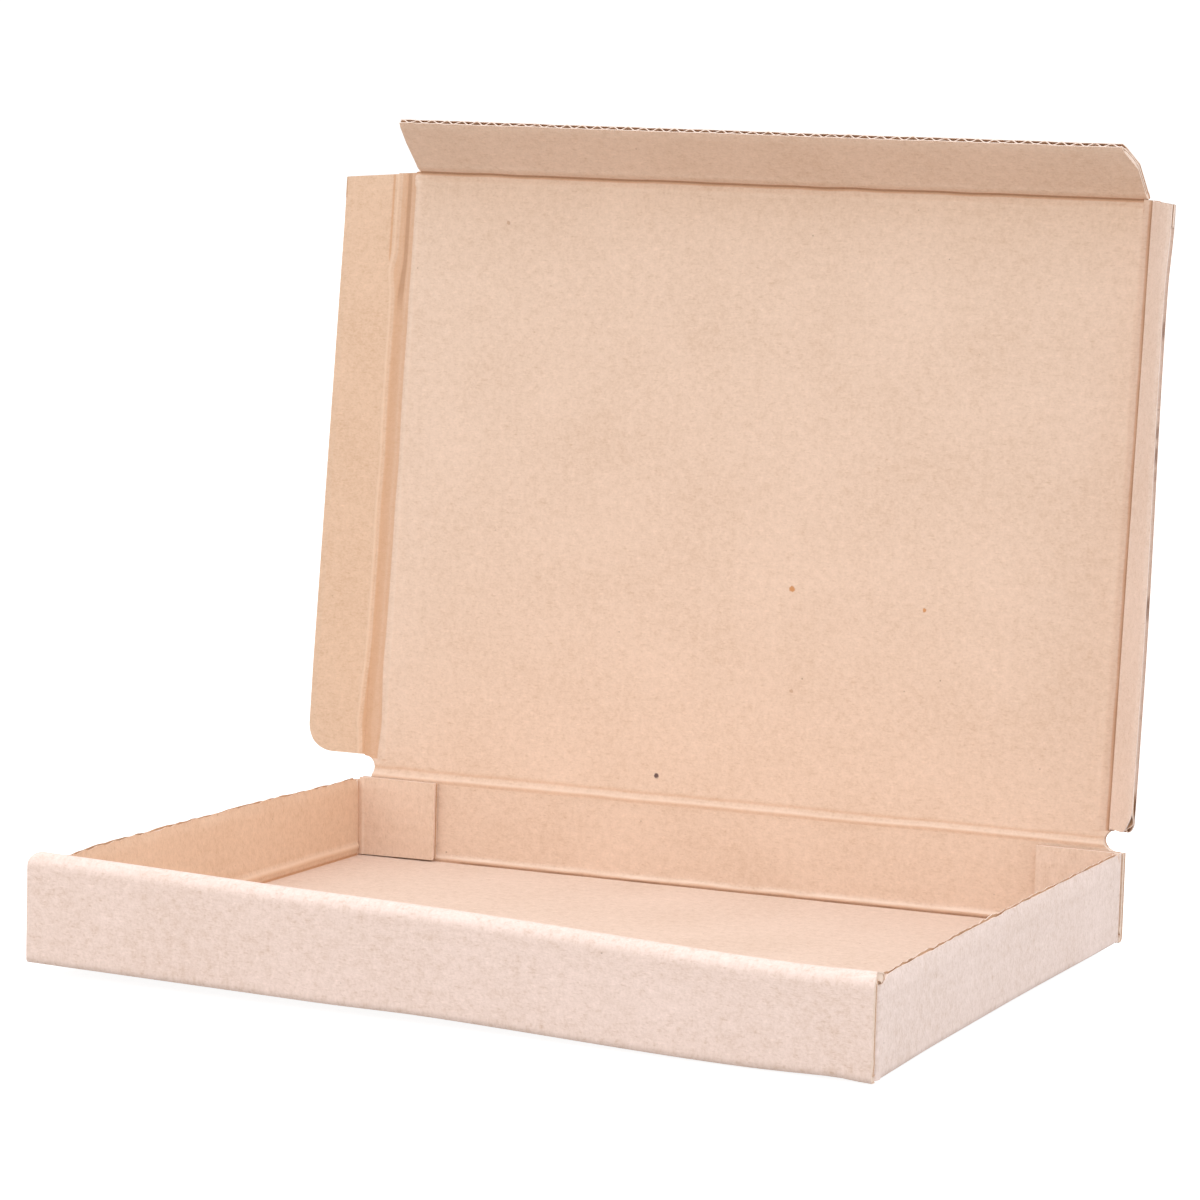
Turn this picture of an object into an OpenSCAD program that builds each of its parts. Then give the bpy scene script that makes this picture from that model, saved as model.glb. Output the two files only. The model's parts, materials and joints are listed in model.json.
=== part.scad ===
// Corrugated mailer box, folded from one die-cut sheet of E-flute board.
// The tray is one folded piece. The lid and its three flaps are hinged at
// their creases and stand open as in the photograph.
// Origin: centre of the tray's underside. +X right, +Y to the back, +Z up.

/* [Tray] */
// Outside width, left to right
tray_w = 163; // [140:1:260]
// Outside depth, front to back
tray_d = 128; // [100:1:220]
// Height of the rolled front wall
front_h = 19; // [15:0.5:45]
// Height of the side walls
side_h = 17.2; // [13:0.1:43]
// Height of the lid crease, at the middle of the board
crease_h = 19.1; // [15:0.1:45]
// Length of the corner tabs behind the front and back walls
tab_len = 16.5; // [10:0.5:40]
// How far the corner tabs stop short of the side wall's top
tab_drop = 0.3; // [0:0.1:2]
// Rise of the tabs' lower edge towards their free end
tab_rise = 0.8; // [0:0.1:2]
// Radius of the front wall's top corners
front_corner_r = 0.5; // [0.3:0.1:5]

/* [Board] */
// Board thickness
board_t = 1.5; // [1.2:0.05:2]
// Liner thickness
liner_t = 0.22; // [0.15:0.01:0.3]
// Thickness of the fluted medium
medium_t = 0.2; // [0.12:0.01:0.3]
// Flute pitch
flute_pitch = 3.3; // [2.8:0.05:4]
// Width of the glue line where a flute's crest meets a liner
glue_w = 0.35; // [0.2:0.05:0.8]
// Inside radius of a fold
fold_r = 0.3; // [0.2:0.05:1]
// Gap between layers of board that lie together
layer_gap = 0.2; // [0.1:0.05:0.5]

/* [Lid] */
// Lid angle from closed
lid_open = 95; // [50:0.5:175]
// Clearance between a folded side flap and the side wall
side_clear = 0.45; // [0.3:0.05:2]
// Clearance between the folded front flap and the rolled front wall
front_clear = 0.2; // [0.15:0.05:2]
// Gap in a crease between the fixed board and the moving board
crease_gap = 0.15; // [0.1:0.05:0.4]
// Depth of the groove that the creasing rule presses
groove_depth = 0.3; // [0.1:0.05:0.5]
// Radius of the creasing groove
groove_r = 4; // [2:0.5:8]
// Radius of the relief notches at the ends of the lid crease
notch_r = 2.4; // [1.5:0.05:3]
// How far the notches reach in past the side flaps' creases
notch_in = 1; // [0:0.1:4]
// How far the notches' centre lies below the lid crease
notch_drop = 0.2; // [0:0.1:1]

/* [Side flaps] */
// Width of a side flap, from its crease
side_flap_w = 14; // [8:0.5:17]
// Gap between the lid crease and the side flaps, clear of the folded tabs
side_flap_gap = 2.5; // [2:0.1:6]
// How much shorter a side flap is at its outer edge
side_flap_taper = 1.1; // [0:0.1:5]
// Radius of a side flap's corner next to the lid crease
side_flap_r = 5.5; // [1:0.5:8]
// Left flap's fold angle from flat
left_fold = 3; // [0:1:88]
// Right flap's fold angle from flat
right_fold = 57; // [0:1:88]

/* [Front flap] */
// Length of the front flap, from its crease
front_flap_l = 15; // [8:0.1:17]
// How far its sides run straight before they taper
front_flap_straight = 9.3; // [3:0.1:12]
// How far each end steps in from the side flap's crease
front_flap_inset = 1.2; // [1:0.1:5]
// Taper of each end at the free edge
front_flap_taper = 2; // [0:0.1:8]
// Front flap's fold angle from flat
front_fold = 52; // [0:1:88]

/* [Hidden] */
$fn = 48;
// Steps in a fold's outline
FOLD_STEPS = 6;
// Steps in one flute's wave
WAVE_STEPS = 8;
// Small overlap that joins shapes or clears a cut
EPS = 0.01;
KRAFT = "#d8b08c";
KRAFT_EDGE = "#c79b74";

half_t = board_t / 2;
// Radius of a fold's outside, and the roll over the two front layers and a tab
fold_out = fold_r + board_t;
roll_in = half_t + layer_gap;
roll_out = roll_in + board_t;
// Where the lid crease lies, and where the lid's own creases lie on it
crease_y = tray_d / 2 - half_t;
flap_x = tray_w / 2 - board_t - side_clear - half_t;
front_inner_y = -tray_d / 2 + 3 * board_t + 2 * layer_gap;
lid_len = crease_y - (front_inner_y + front_clear + half_t);
// The moving board ends in a half-round nose; the fixed board stops short of it
nose_room = half_t + crease_gap;
// Side walls run between the vertical folds of their tabs
tab_mid_y = tray_d / 2 - board_t - layer_gap - half_t;
wall_run = 2 * (tab_mid_y - fold_r - half_t);
wall_x = tray_w / 2 - half_t;
notch_x = flap_x - notch_in + notch_r;

// Points [x, y, heading] along the middle of a strip. The path lists
// [straight length, bend to the left, inside radius of the bend].
function trail(path, i = 0, at = [0, 0, 0]) =
    i == len(path) ? [] :
    let (run = path[i][0], bend = path[i][1], r = path[i][2] + half_t, h = at[2],
         foot = [at[0] + run * cos(h), at[1] + run * sin(h), h],
         steps = ceil(bend / 90) * FOLD_STEPS,
         arc = [for (k = [1:steps]) let (a = h + bend * k / steps)
             [foot[0] + r * (sin(a) - sin(h)), foot[1] + r * (cos(h) - cos(a)), a]])
    concat([at, foot], [for (k = [0:1:len(arc) - 2]) arc[k]],
        trail(path, i + 1, bend == 0 ? foot : arc[len(arc) - 1]));

// Outline of a folded strip seen end-on, its middle starting at start
module strip(path, start) {
    mids = trail(path, 0, start);
    left = [for (m = mids) [m[0] - half_t * sin(m[2]), m[1] + half_t * cos(m[2])]];
    right = [for (m = mids) [m[0] + half_t * sin(m[2]), m[1] - half_t * cos(m[2])]];
    polygon(concat(left, [for (k = [len(right) - 1:-1:0]) right[k]]));
}

// One open space between a liner and the fluted medium, seen end-on: flat
// along the liner and curved along the wave, glue_w short of a full pitch
module flute_space() {
    reach = half_t - liner_t;
    wave = reach - medium_t / 2;
    polygon([for (j = [0:WAVE_STEPS])
        [glue_w / 2 + (flute_pitch - glue_w) * j / WAVE_STEPS,
         j == 0 || j == WAVE_STEPS ? reach
            : medium_t / 2 + wave * cos(360 * j / WAVE_STEPS)]]);
}

// The open spaces across a width that starts at x = 0, board's middle on y = 0
module flute_spaces(width) {
    intersection() {
        for (k = [-1:ceil(width / flute_pitch)]) translate([k * flute_pitch, 0]) {
            flute_space();
            translate([flute_pitch / 2, 0]) mirror([0, 1]) flute_space();
        }
        translate([0, -half_t]) square([width, board_t]);
    }
}

// Floor and both side walls, folded up, seen from the front
module side_wall_strip() {
    up = side_h - fold_out;
    rotate([90, 0, 0])
        linear_extrude(wall_run, center = true)
            strip([[up, 90, fold_r], [tray_w - 2 * fold_out, 90, fold_r], [up, 0, 0]],
                [-wall_x, side_h, -90]);
}

// Rolled front wall, floor and back wall, folded up, seen from the right
module front_to_back_strip() {
    roll_z = front_h - roll_out;
    rotate([90, 0, 90])
        linear_extrude(tray_w, center = true)
            strip([[roll_z - board_t - layer_gap, 180, roll_in],
                   [roll_z - fold_out, 90, fold_r],
                   [tray_d - 2 * fold_out, 90, fold_r],
                   [crease_h - nose_room - fold_out, 0, 0]],
                [-tray_d / 2 + half_t + 2 * (roll_in + half_t), board_t + layer_gap, 90]);
}

// Left side wall with its back and front tabs, seen from above
module tab_strip() {
    run = tab_len - fold_r;
    lift = board_t + layer_gap;
    translate([0, 0, lift])
        linear_extrude(side_h - tab_drop - lift)
            strip([[run, 90, fold_r], [wall_run, 90, fold_r], [run, 0, 0]],
                [-tray_w / 2 + board_t + tab_len, tab_mid_y, 180]);
}

// Cut that slopes a tab's lower edge up towards its free end
module tab_slope() {
    lift = board_t + layer_gap;
    for (end = [-1, 1])
        translate([-tray_w / 2 + board_t + fold_r, end * tab_mid_y, lift])
            rotate([90, 0, 0])
                linear_extrude(2 * board_t, center = true)
                    polygon([[0, -EPS], [tab_len + 1, -EPS], [tab_len + 1, tab_rise]]);
}

// Open flutes in the free ends of the left tabs, above their sloping edge
module tab_flutes() {
    low = board_t + layer_gap + tab_rise + liner_t;
    count = floor((side_h - tab_drop - liner_t - low) / flute_pitch);
    for (end = [-1, 1])
        translate([-tray_w / 2 + board_t + tab_len + EPS, end * tab_mid_y, low])
            rotate([0, -90, 0])
                linear_extrude(tab_len - board_t) flute_spaces(count * flute_pitch);
}

// Flute that the cut along the left side wall's top has opened
module top_flute() {
    translate([-wall_x, 0, side_h - flute_pitch / 2])
        rotate([90, 0, 0])
            linear_extrude(wall_run, center = true) rotate(90) flute_space();
}

// Room in the front-to-back strip for the side walls and their folds
module side_room() {
    translate([tray_w / 2 - fold_out, -tray_d / 2 + fold_out, -1])
        cube([fold_out + 1, tray_d - 2 * fold_out, side_h + layer_gap + 1]);
}

// Round-ended relief notch through the board at the left end of the lid crease
module notch(depth) {
    translate([-notch_x, 0, 0]) cylinder(r = notch_r, h = depth, center = true);
    translate([-notch_x - tray_w, -notch_r, -depth / 2]) cube([tray_w, 2 * notch_r, depth]);
}

// Outside of a rounded top corner of the front wall
module front_corner() {
    translate([tray_w / 2 - front_corner_r, 0, front_h - front_corner_r])
        rotate([90, 0, 0]) difference() {
            translate([0, 0, -tray_d]) cube([front_corner_r + 1, front_corner_r + 1, 2 * tray_d]);
            cylinder(r = front_corner_r, h = 3 * tray_d, center = true);
        }
}

// A row of copies, the second one mirrored left to right
module both_sides() {
    children();
    mirror([1, 0, 0]) children();
}

module tray() {
    color(KRAFT) {
        difference() {
            front_to_back_strip();
            both_sides() {
                side_room();
                intersection() {
                    front_corner();
                    translate([0, -tray_d, 0]) cube(tray_d);
                }
                translate([0, crease_y, crease_h - notch_drop]) rotate([90, 0, 0]) notch(3 * board_t);
                translate([-notch_x - tray_w, crease_y - board_t, crease_h - notch_drop])
                    cube([tray_w, 2 * board_t, notch_r + board_t]);
            }
        }
        difference() {
            union() {
                side_wall_strip();
                both_sides() tab_strip();
            }
            both_sides() {
                tab_slope();
                tab_flutes();
                top_flute();
            }
        }
    }
}

// Groove that a creasing rule presses along X, in the board's inner face
module groove(length) {
    translate([0, 0, half_t - groove_depth + groove_r])
        rotate([0, 90, 0]) cylinder(r = groove_r, h = length, center = true);
}

// Lid, lying flat: +Y runs from its crease to the front, +Z is the inner face
module lid_flat() {
    edge_x = flap_x - nose_room;
    crease_half = notch_x - notch_r;
    difference() {
        union() {
            translate([-edge_x, 0, -half_t]) cube([2 * edge_x, lid_len - nose_room, board_t]);
            rotate([0, 90, 0]) cylinder(r = half_t, h = 2 * crease_half, center = true);
        }
        both_sides() translate([0, -notch_drop, 0]) notch(3 * board_t);
        groove(2 * tray_w);
        translate([0, lid_len, 0]) groove(2 * tray_w);
        both_sides() translate([flap_x, 0, 0]) rotate([0, 0, 90]) groove(4 * tray_d);
    }
}

// Front flap, lying flat: its crease on X, +Y to its free edge
module front_flap_flat() {
    half_w = flap_x - front_flap_inset;
    tip_w = half_w - front_flap_taper;
    difference() {
        union() {
            translate([0, 0, -half_t]) linear_extrude(board_t)
                polygon([[-half_w, 0], [half_w, 0], [half_w, front_flap_straight],
                    [tip_w, front_flap_l], [-tip_w, front_flap_l], [-half_w, front_flap_straight]]);
            rotate([0, 90, 0]) cylinder(r = half_t, h = 2 * half_w, center = true);
        }
        groove(2 * tray_w);
        translate([-half_w, board_t, 0]) rotate([90, 0, 0]) mirror([0, 0, 1])
            linear_extrude(front_flap_l) flute_spaces(2 * half_w);
    }
}

// Right flap, lying flat: its crease on Y, +X to its outer edge
module side_flap_flat() {
    low = side_flap_gap;
    high = lid_len - half_t - 2 * crease_gap;
    difference() {
        union() {
            translate([0, 0, -half_t]) linear_extrude(board_t) difference() {
                polygon([[0, low], [side_flap_w, low],
                    [side_flap_w, high - side_flap_taper], [0, high]]);
                translate([side_flap_w - side_flap_r, low + side_flap_r]) difference() {
                    translate([0, -side_flap_r - 1]) square(side_flap_r + 1);
                    circle(side_flap_r);
                }
            }
            translate([0, low, 0]) rotate([-90, 0, 0]) cylinder(r = half_t, h = high - low);
        }
        rotate([0, 0, 90]) groove(4 * tray_d);
        translate([board_t, 0, 0]) rotate([-90, 0, 0])
            linear_extrude(lid_len) flute_spaces(side_flap_w - board_t + EPS);
    }
}

// Puts a shape that lies on the flat lid where the open lid stands
module on_lid() {
    translate([0, crease_y, crease_h]) rotate([180 - lid_open, 0, 0]) children();
}

module lid() {
    color(KRAFT) on_lid() lid_flat();
}

module front_flap() {
    color(KRAFT_EDGE) on_lid() translate([0, lid_len, 0]) rotate([front_fold, 0, 0]) front_flap_flat();
}

module left_flap() {
    color(KRAFT) on_lid() mirror([1, 0, 0])
        translate([flap_x, 0, 0]) rotate([0, -left_fold, 0]) side_flap_flat();
}

module right_flap() {
    color(KRAFT) on_lid() translate([flap_x, 0, 0]) rotate([0, -right_fold, 0]) side_flap_flat();
}

tray();
lid();
front_flap();
left_flap();
right_flap();
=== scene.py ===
# %% [markdown]
# # A mailer box, folded from one sheet of corrugated board
# The real box is die-cut from one flat sheet: two kraft paper liners with a wavy paper,
# the medium, glued between them. This script builds it in that spirit. Each panel is a
# pair of thin liners with a core between them, bent round the creases, and the lid's
# flaps also have real flutes where their cut edges show them.
# The imported model comes first. It fixes where every crease and every wall is.

# %% The imported model
import json
import math
import random

import bpy
import numpy as np
from mathutils import Matrix, Vector


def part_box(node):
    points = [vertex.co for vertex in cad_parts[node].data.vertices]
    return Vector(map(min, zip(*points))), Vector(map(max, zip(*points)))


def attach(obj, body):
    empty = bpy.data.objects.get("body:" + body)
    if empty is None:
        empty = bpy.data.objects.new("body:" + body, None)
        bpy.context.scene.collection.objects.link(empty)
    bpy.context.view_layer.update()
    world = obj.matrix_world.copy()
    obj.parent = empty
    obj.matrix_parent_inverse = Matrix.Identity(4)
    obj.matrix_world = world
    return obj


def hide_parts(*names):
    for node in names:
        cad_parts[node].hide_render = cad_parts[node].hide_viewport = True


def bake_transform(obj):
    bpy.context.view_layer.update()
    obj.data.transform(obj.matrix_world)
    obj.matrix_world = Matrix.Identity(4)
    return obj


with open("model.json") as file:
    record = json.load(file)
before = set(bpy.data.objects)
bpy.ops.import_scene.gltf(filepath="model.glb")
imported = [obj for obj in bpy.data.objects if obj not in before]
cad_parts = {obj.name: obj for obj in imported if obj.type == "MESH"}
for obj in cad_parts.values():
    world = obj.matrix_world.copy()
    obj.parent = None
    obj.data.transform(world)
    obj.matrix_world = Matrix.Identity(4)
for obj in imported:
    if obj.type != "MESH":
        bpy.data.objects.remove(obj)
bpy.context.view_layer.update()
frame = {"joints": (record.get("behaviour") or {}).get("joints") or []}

# %% [markdown]
# Sizes are kept in millimetres, as a box maker would write them, and turned into metres
# when a mesh is made. The tray's box and the hinge axes give the width, the depth and
# the crease lines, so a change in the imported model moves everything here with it.

# %% Sizes of the box
MM = 0.001
tray_low, tray_high = (np.array(corner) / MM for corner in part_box("tray"))
TRAY_W = tray_high[0] - tray_low[0]
TRAY_D = tray_high[1] - tray_low[1]
FRONT_H = tray_high[2]
SIDE_H = 17.2
joints = {joint["name"]: joint for joint in frame["joints"]}


def crease_place(name):
    """A point on a crease and the crease's direction, in millimetres."""
    return np.array(joints[name]["pos_m"]) / MM, np.array(joints[name]["axis"], float)


lid_crease, _ = crease_place("lid_crease")
flap_crease, LID_UP = crease_place("left_flap_crease")
front_crease, _ = crease_place("front_flap_crease")
RIGHT = np.array([1.0, 0.0, 0.0])
UP = np.array([0.0, 0.0, 1.0])
LID_UP = LID_UP / np.linalg.norm(LID_UP)
LID_IN = np.cross(RIGHT, LID_UP)
FLAP_X = abs(flap_crease[0])
LID_LEN = float(np.linalg.norm(front_crease - lid_crease))
left_fold, right_fold, front_fold = (
    -math.radians(joints[name]["range_deg"][0])
    for name in ("left_flap_crease", "right_flap_crease", "front_flap_crease"))
print("tray", TRAY_W, TRAY_D, FRONT_H, "lid", round(LID_LEN, 2), "side creases at", FLAP_X)

# %% [markdown]
# The board is 1.5 mm thick. The liners are a fifth of a millimetre, the medium is a
# quarter, and its wave repeats every 3.3 mm. The flutes run from the front of the sheet to
# its back, so the flaps' free edges at the front and back show their open ends, and
# the edges at the left and right are cut along a flute.

# %% Sizes of the board
BOARD = 1.5
HALF = BOARD / 2
LINER = 0.22
MEDIUM = 0.26
PITCH = 3.3
FOLD_IN = 0.3
LAYER_GAP = 0.2
FOLD_OUT = FOLD_IN + BOARD
ROLL_IN = HALF + LAYER_GAP
ROLL_OUT = ROLL_IN + BOARD
print("board", BOARD, "mm thick, a flute every", PITCH, "mm")

# %% [markdown]
# Round corners, tabs, notches and flaps have sizes of their own. `STRIP` is how far a
# crease reaches to each side: the flat panels begin there, and a strip that bends fills
# the crease between them. `LID_FLAT` is where the lid begins on the flat sheet.

# %% Sizes of the tabs, notches and flaps
TAB_LEN = 16.5
TAB_DROP = 0.3
TAB_RISE = 0.2
CORNER_R = 0.5
LEFT_CORNER_R = 1.4
NOTCH_R = 2.4
NOTCH_X = FLAP_X - 1.0 + NOTCH_R
NOTCH_DROP = 0.2
STRIP = 1.8
SIDE_FLAP_W = 14.0
SIDE_FLAP_R = 5.5
SIDE_FLAP_TAPER = 1.1
SIDE_LOW = 2.5
SIDE_HIGH = LID_LEN - HALF + 0.1
FRONT_FLAP_L = 15.0
FRONT_FLAP_STRAIGHT = 9.3
FRONT_FLAP_INSET = 1.2
FRONT_FLAP_TAPER = 2.0
LID_FLAT = TRAY_D + 3 * FRONT_H + 20.0
print("side flaps", SIDE_FLAP_W, "by", round(SIDE_HIGH - SIDE_LOW, 1), "mm, front", FRONT_FLAP_L)

# %% [markdown]
# The camera comes next. The photograph looks slightly down on the box from its right,
# through a long lens. A long lens far away keeps the walls nearly parallel, which is
# what makes the picture look like a catalogue shot and not like a snapshot.

# %% The camera
CAMERA_AT = (345.5, -755.9, 172.8)
CAMERA_TURN = 24.54
CAMERA_DOWN = 7.33
CAMERA_ROLL = 1.61
FOCAL_PX = 4577.0
FRAME_PX = 1200.0
SENSOR_MM = 36.0


def add_object(name, data):
    """A new object in the scene."""
    made = bpy.data.objects.new(name, data)
    bpy.context.scene.collection.objects.link(made)
    return made


turn, down, roll = (math.radians(a) for a in (CAMERA_TURN, CAMERA_DOWN, CAMERA_ROLL))
camera = add_object("camera", bpy.data.cameras.new("camera"))
bpy.context.scene.camera = camera
camera.data.sensor_width = SENSOR_MM
camera.data.lens = FOCAL_PX * SENSOR_MM / FRAME_PX
camera.data.clip_start = 0.01
camera.data.clip_end = 50.0
camera.matrix_world = (
    Matrix.Translation(Vector(CAMERA_AT) * MM)
    @ Matrix.Rotation(turn, 4, "Z")
    @ Matrix.Rotation(math.pi / 2 - down, 4, "X")
    @ Matrix.Rotation(roll, 4, "Z"))
print("lens", round(camera.data.lens, 1), "mm")

# %% [markdown]
# Paper has no grain you can see at arm's length, but up close it is mottled: pale and
# dark fibres, small brown flecks and a soft cloudiness. All of that is written as
# arithmetic on positions, so a small class lets the sockets of nodes be added and
# multiplied like numbers. Each sum quietly makes one Math node.

# %% Arithmetic with nodes
class Wire:
    """A node's socket that can be used in sums. Every sum adds a Math node."""

    def __init__(self, tree, socket):
        self.tree = tree
        self.socket = socket

    def math(self, operation, *others):
        """The output of a new Math node."""
        return self.tree.node("ShaderNodeMath", {"operation": operation},
                              dict(enumerate((self, *others))))

    def __add__(self, other):
        return self.math("ADD", other)

    def __sub__(self, other):
        return self.math("SUBTRACT", other)

    def __mul__(self, other):
        return self.math("MULTIPLY", other)

    def __rsub__(self, other):
        return self * -1.0 + other

    def other(self, output):
        """Another output of the node that this one comes from."""
        return Wire(self.tree, self.socket.node.outputs[output])


class Tree:
    """A node tree of any kind, with a short way to add nodes."""

    def __init__(self, tree):
        self.nodes = tree.nodes
        self.links = tree.links

    def node(self, kind, settings=None, inputs=None, output=0):
        """Adds a node and gives one of its outputs."""
        made = self.nodes.new(kind)
        for key, value in (settings or {}).items():
            setattr(made, key, value)
        for key, value in (inputs or {}).items():
            self.feed(made.inputs[key], value)
        return Wire(self, made.outputs[output]) if made.outputs else None

    def feed(self, socket, value):
        """Gives a socket a value or a link."""
        if isinstance(value, Wire):
            self.links.new(value.socket, socket)
        elif socket.type == "RGBA":
            socket.default_value = (*value, 1.0)
        else:
            socket.default_value = value

    def blend(self, amount, first, second):
        """Mixes two colours. An amount of 0 gives the first and 1 the second."""
        settings = {"data_type": "RGBA", "clamp_factor": True}
        return self.node("ShaderNodeMix", settings, {0: amount, 6: first, 7: second}, 2)

    def step(self, value, low, high):
        """0 below low, 1 above high and smooth between them."""
        return self.node("ShaderNodeMapRange", {"interpolation_type": "SMOOTHSTEP"},
                         {0: value, 1: low, 2: high, 3: 0.0, 4: 1.0})


def srgb(red, green, blue):
    """A colour written as 0 to 255 screen values, as the linear values shaders use."""
    return tuple(c / 12.92 if c <= 0.04045 else ((c + 0.055) / 1.055) ** 2.4
                 for c in (red / 255, green / 255, blue / 255))


# %% [markdown]
# The mottling must follow the sheet round its folds. So every mesh carries its place on
# the flat sheet, in millimetres, as an attribute called `sheet`. The third number keeps
# the two faces of the board apart, so that they don't show the same flecks. A second
# attribute, `crease`, says how far the paper is pressed in or pushed up, and the colour
# takes painted shade and painted highlights from it. A third, `warmth`, makes panels a
# little more orange or more grey than their neighbours: on the walls, the floor and the
# right flap it is painted light, warmer where light bounces warm inside the box and
# cooler where cool light falls. Mottles, creases, flecks and specks make up one factor,
# and the last step multiplies it by the tint.

# %% Mottling
PALE, DARK = (1.25, 1.27, 1.32), (0.72, 0.62, 0.5)
FIBRE_FROM, FIBRE_TO = 0.62, 0.74
# Fibres: scale, stretch, the directions in which they lie, and how much paler they are.
PALE_FIBRES = (1.0, (0.6, 2.2, 1.0), (0.3, -1.1, 1.9), 0.12)
DARK_FIBRES = (1.1, (0.55, 2.4, 1.0), (-0.3, 0.9, -1.6), -0.16)


def noise(shader, sheet, scale, detail=2.0, rough=0.55, stretch=(1.0, 1.0, 1.0), turned=0.0):
    """Noise on the flat sheet, with about this many waves to a millimetre."""
    placed = shader.node("ShaderNodeMapping", {}, {
        "Vector": sheet, "Rotation": (0.0, 0.0, turned),
        "Scale": tuple(scale * s for s in stretch)})
    return shader.node("ShaderNodeTexNoise", {}, {
        "Vector": placed, "Scale": 1.0, "Detail": detail, "Roughness": rough})


def mottling(shader, sheet, mottle, grain, contrast):
    """A factor for the paper's colour: clouds, mottles, grain and single fibres."""
    tone = (noise(shader, sheet, 0.05) - 0.5) * 0.4 + (mottle - 0.5) * 0.75 + (grain - 0.5) * 0.7
    for scale, stretch, directions, strength in (PALE_FIBRES, DARK_FIBRES):
        for turned in directions:
            fibres = noise(shader, sheet, scale, 1.0, 0.5, stretch, turned)
            tone = tone + shader.step(fibres, FIBRE_FROM, FIBRE_TO) * strength
    tone = tone * (2.0 * contrast)
    return shader.blend(tone * -1.0, shader.blend(tone, (1.0, 1.0, 1.0), PALE), DARK)


# %% [markdown]
# A crease's valleys are darker than the rest, partly from their crushed fibres and partly
# as painted shade, and its ridges are painted paler as a painted highlight.
# Flecks are the cells of a Voronoi pattern, of which only the rarest are shown, and the
# five specks that the photograph shows on the lid each have a place of their own.

# %% Creases, flecks and specks
# Crease colours: a painted highlight for ridges, and for shallow and deep valleys the crushed
# fibres' colour with painted shade.
RIDGE_HIGHLIGHT, VALLEY_CRUSH_AND_SHADE, DEEP_CRUSH_AND_SHADE = (1.14, 1.18, 1.22), (0.82, 0.6, 0.42), (0.5, 0.36, 0.26)
FLECK = (0.35, 0.27, 0.22)
FLECKS_PER_MM = 0.28


def creased(shader, shade, crease):
    """Adds the creases' painted highlights on ridges, and valleys darkened by crushed fibres and
    painted shade.
    """
    shade = shader.blend(shader.step(crease, 0.06, 0.32) * 0.7, shade, RIDGE_HIGHLIGHT)
    shade = shader.blend(shader.step(crease * -1.0, 0.02, 0.14) * 0.55, shade, VALLEY_CRUSH_AND_SHADE)
    return shader.blend(shader.step(crease * -1.0, 0.16, 0.4) * 0.85, shade, DEEP_CRUSH_AND_SHADE)


def flecked(shader, shade, sheet):
    """Adds small brown flecks, a few to a hand's width."""
    flecks = shader.node("ShaderNodeTexVoronoi", {"feature": "F1"},
                         {"Vector": sheet, "Scale": FLECKS_PER_MM, "Randomness": 1.0})
    chosen = shader.node("ShaderNodeSeparateColor", {}, {"Color": flecks.other("Color")})
    rare = shader.step(chosen, 0.84, 0.9)
    spot = 1.0 - shader.step(flecks, 0.02, 0.07)
    return shader.blend(spot * rare * 0.6, shade, FLECK)


def specked(shader, shade, sheet, grain, specks):
    """Adds specks at given places, with edges that the grain makes uneven."""
    for place, radius, speck in specks:
        far = shader.node("ShaderNodeVectorMath", {"operation": "DISTANCE"},
                          {0: sheet, 1: place}, output=1) + (grain - 0.5) * radius
        shade = shader.blend(1.0 - shader.step(far, radius * 0.5, radius), shade, speck)
    return shade


# %% [markdown]
# The four papers share these layers and differ in tint and contrast. The inside liner
# is browner than the outside, and the medium is brownest. In the relief, the flutes
# just show through both liners as faint lines.

# %% Kraft paper
# Tints for `warmth`, mostly painted light: the warm light bounced inside the box and the cooler
# light of the lamps.
WARMER = (0.98, 0.9, 0.81)
COOLER = (1.01, 1.07, 1.15)
ROUGHNESS = 0.93
GLOSS = 0.18
MOTTLE_HEIGHT, GRAIN_HEIGHT = 0.05, 0.04
FLUTE_LINES = 0.012


def paper(name, tint, contrast, flute_lines=0.0, specks=()):
    """Uncoated kraft paper. The tint is its mean colour."""
    material = bpy.data.materials.new(name)
    material.use_nodes = True
    shader = Tree(material.node_tree)
    sheet, crease, warmth = (
        shader.node("ShaderNodeAttribute", {"attribute_name": attribute}, output=output)
        for attribute, output in (("sheet", 1), ("crease", 2), ("warmth", 2)))
    mottle = noise(shader, sheet, 0.6, 3.0, 0.6)
    grain = noise(shader, sheet, 1.9, 2.0, 0.65)
    shade = mottling(shader, sheet, mottle, grain, contrast)
    shade = flecked(shader, creased(shader, shade, crease), sheet)
    shade = specked(shader, shade, sheet, grain, specks)
    # Painted light: `warmth` tints the paper warmer or cooler, panel by panel.
    base = shader.blend(warmth, tint, tuple(c * k for c, k in zip(tint, WARMER)))
    base = shader.blend(warmth * -1.0, base, tuple(c * k for c, k in zip(tint, COOLER)))
    colour = shader.node("ShaderNodeMix", {"data_type": "RGBA", "blend_type": "MULTIPLY"},
                         {0: 1.0, 6: base, 7: shade}, 2)
    across = shader.node("ShaderNodeSeparateXYZ", {}, {0: sheet})
    wave = (across * (2 * math.pi / PITCH)).math("SINE") * flute_lines
    height = (mottle - 0.5) * MOTTLE_HEIGHT + (grain - 0.5) * GRAIN_HEIGHT + wave
    bump = shader.node("ShaderNodeBump", {}, {"Strength": 1.0, "Distance": MM, "Height": height})
    surface = shader.nodes["Principled BSDF"].inputs
    for key, value in (("Base Color", colour), ("Roughness", ROUGHNESS),
                       ("Specular IOR Level", GLOSS), ("Normal", bump)):
        shader.feed(surface[key], value)
    return material


IN_LAYER = 40.0
DARK_SPECK, FAINT_SPECK, BROWN_SPECK = (0.2, 0.17, 0.2), (0.78, 0.7, 0.64), (0.8, 0.52, 0.3)
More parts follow.
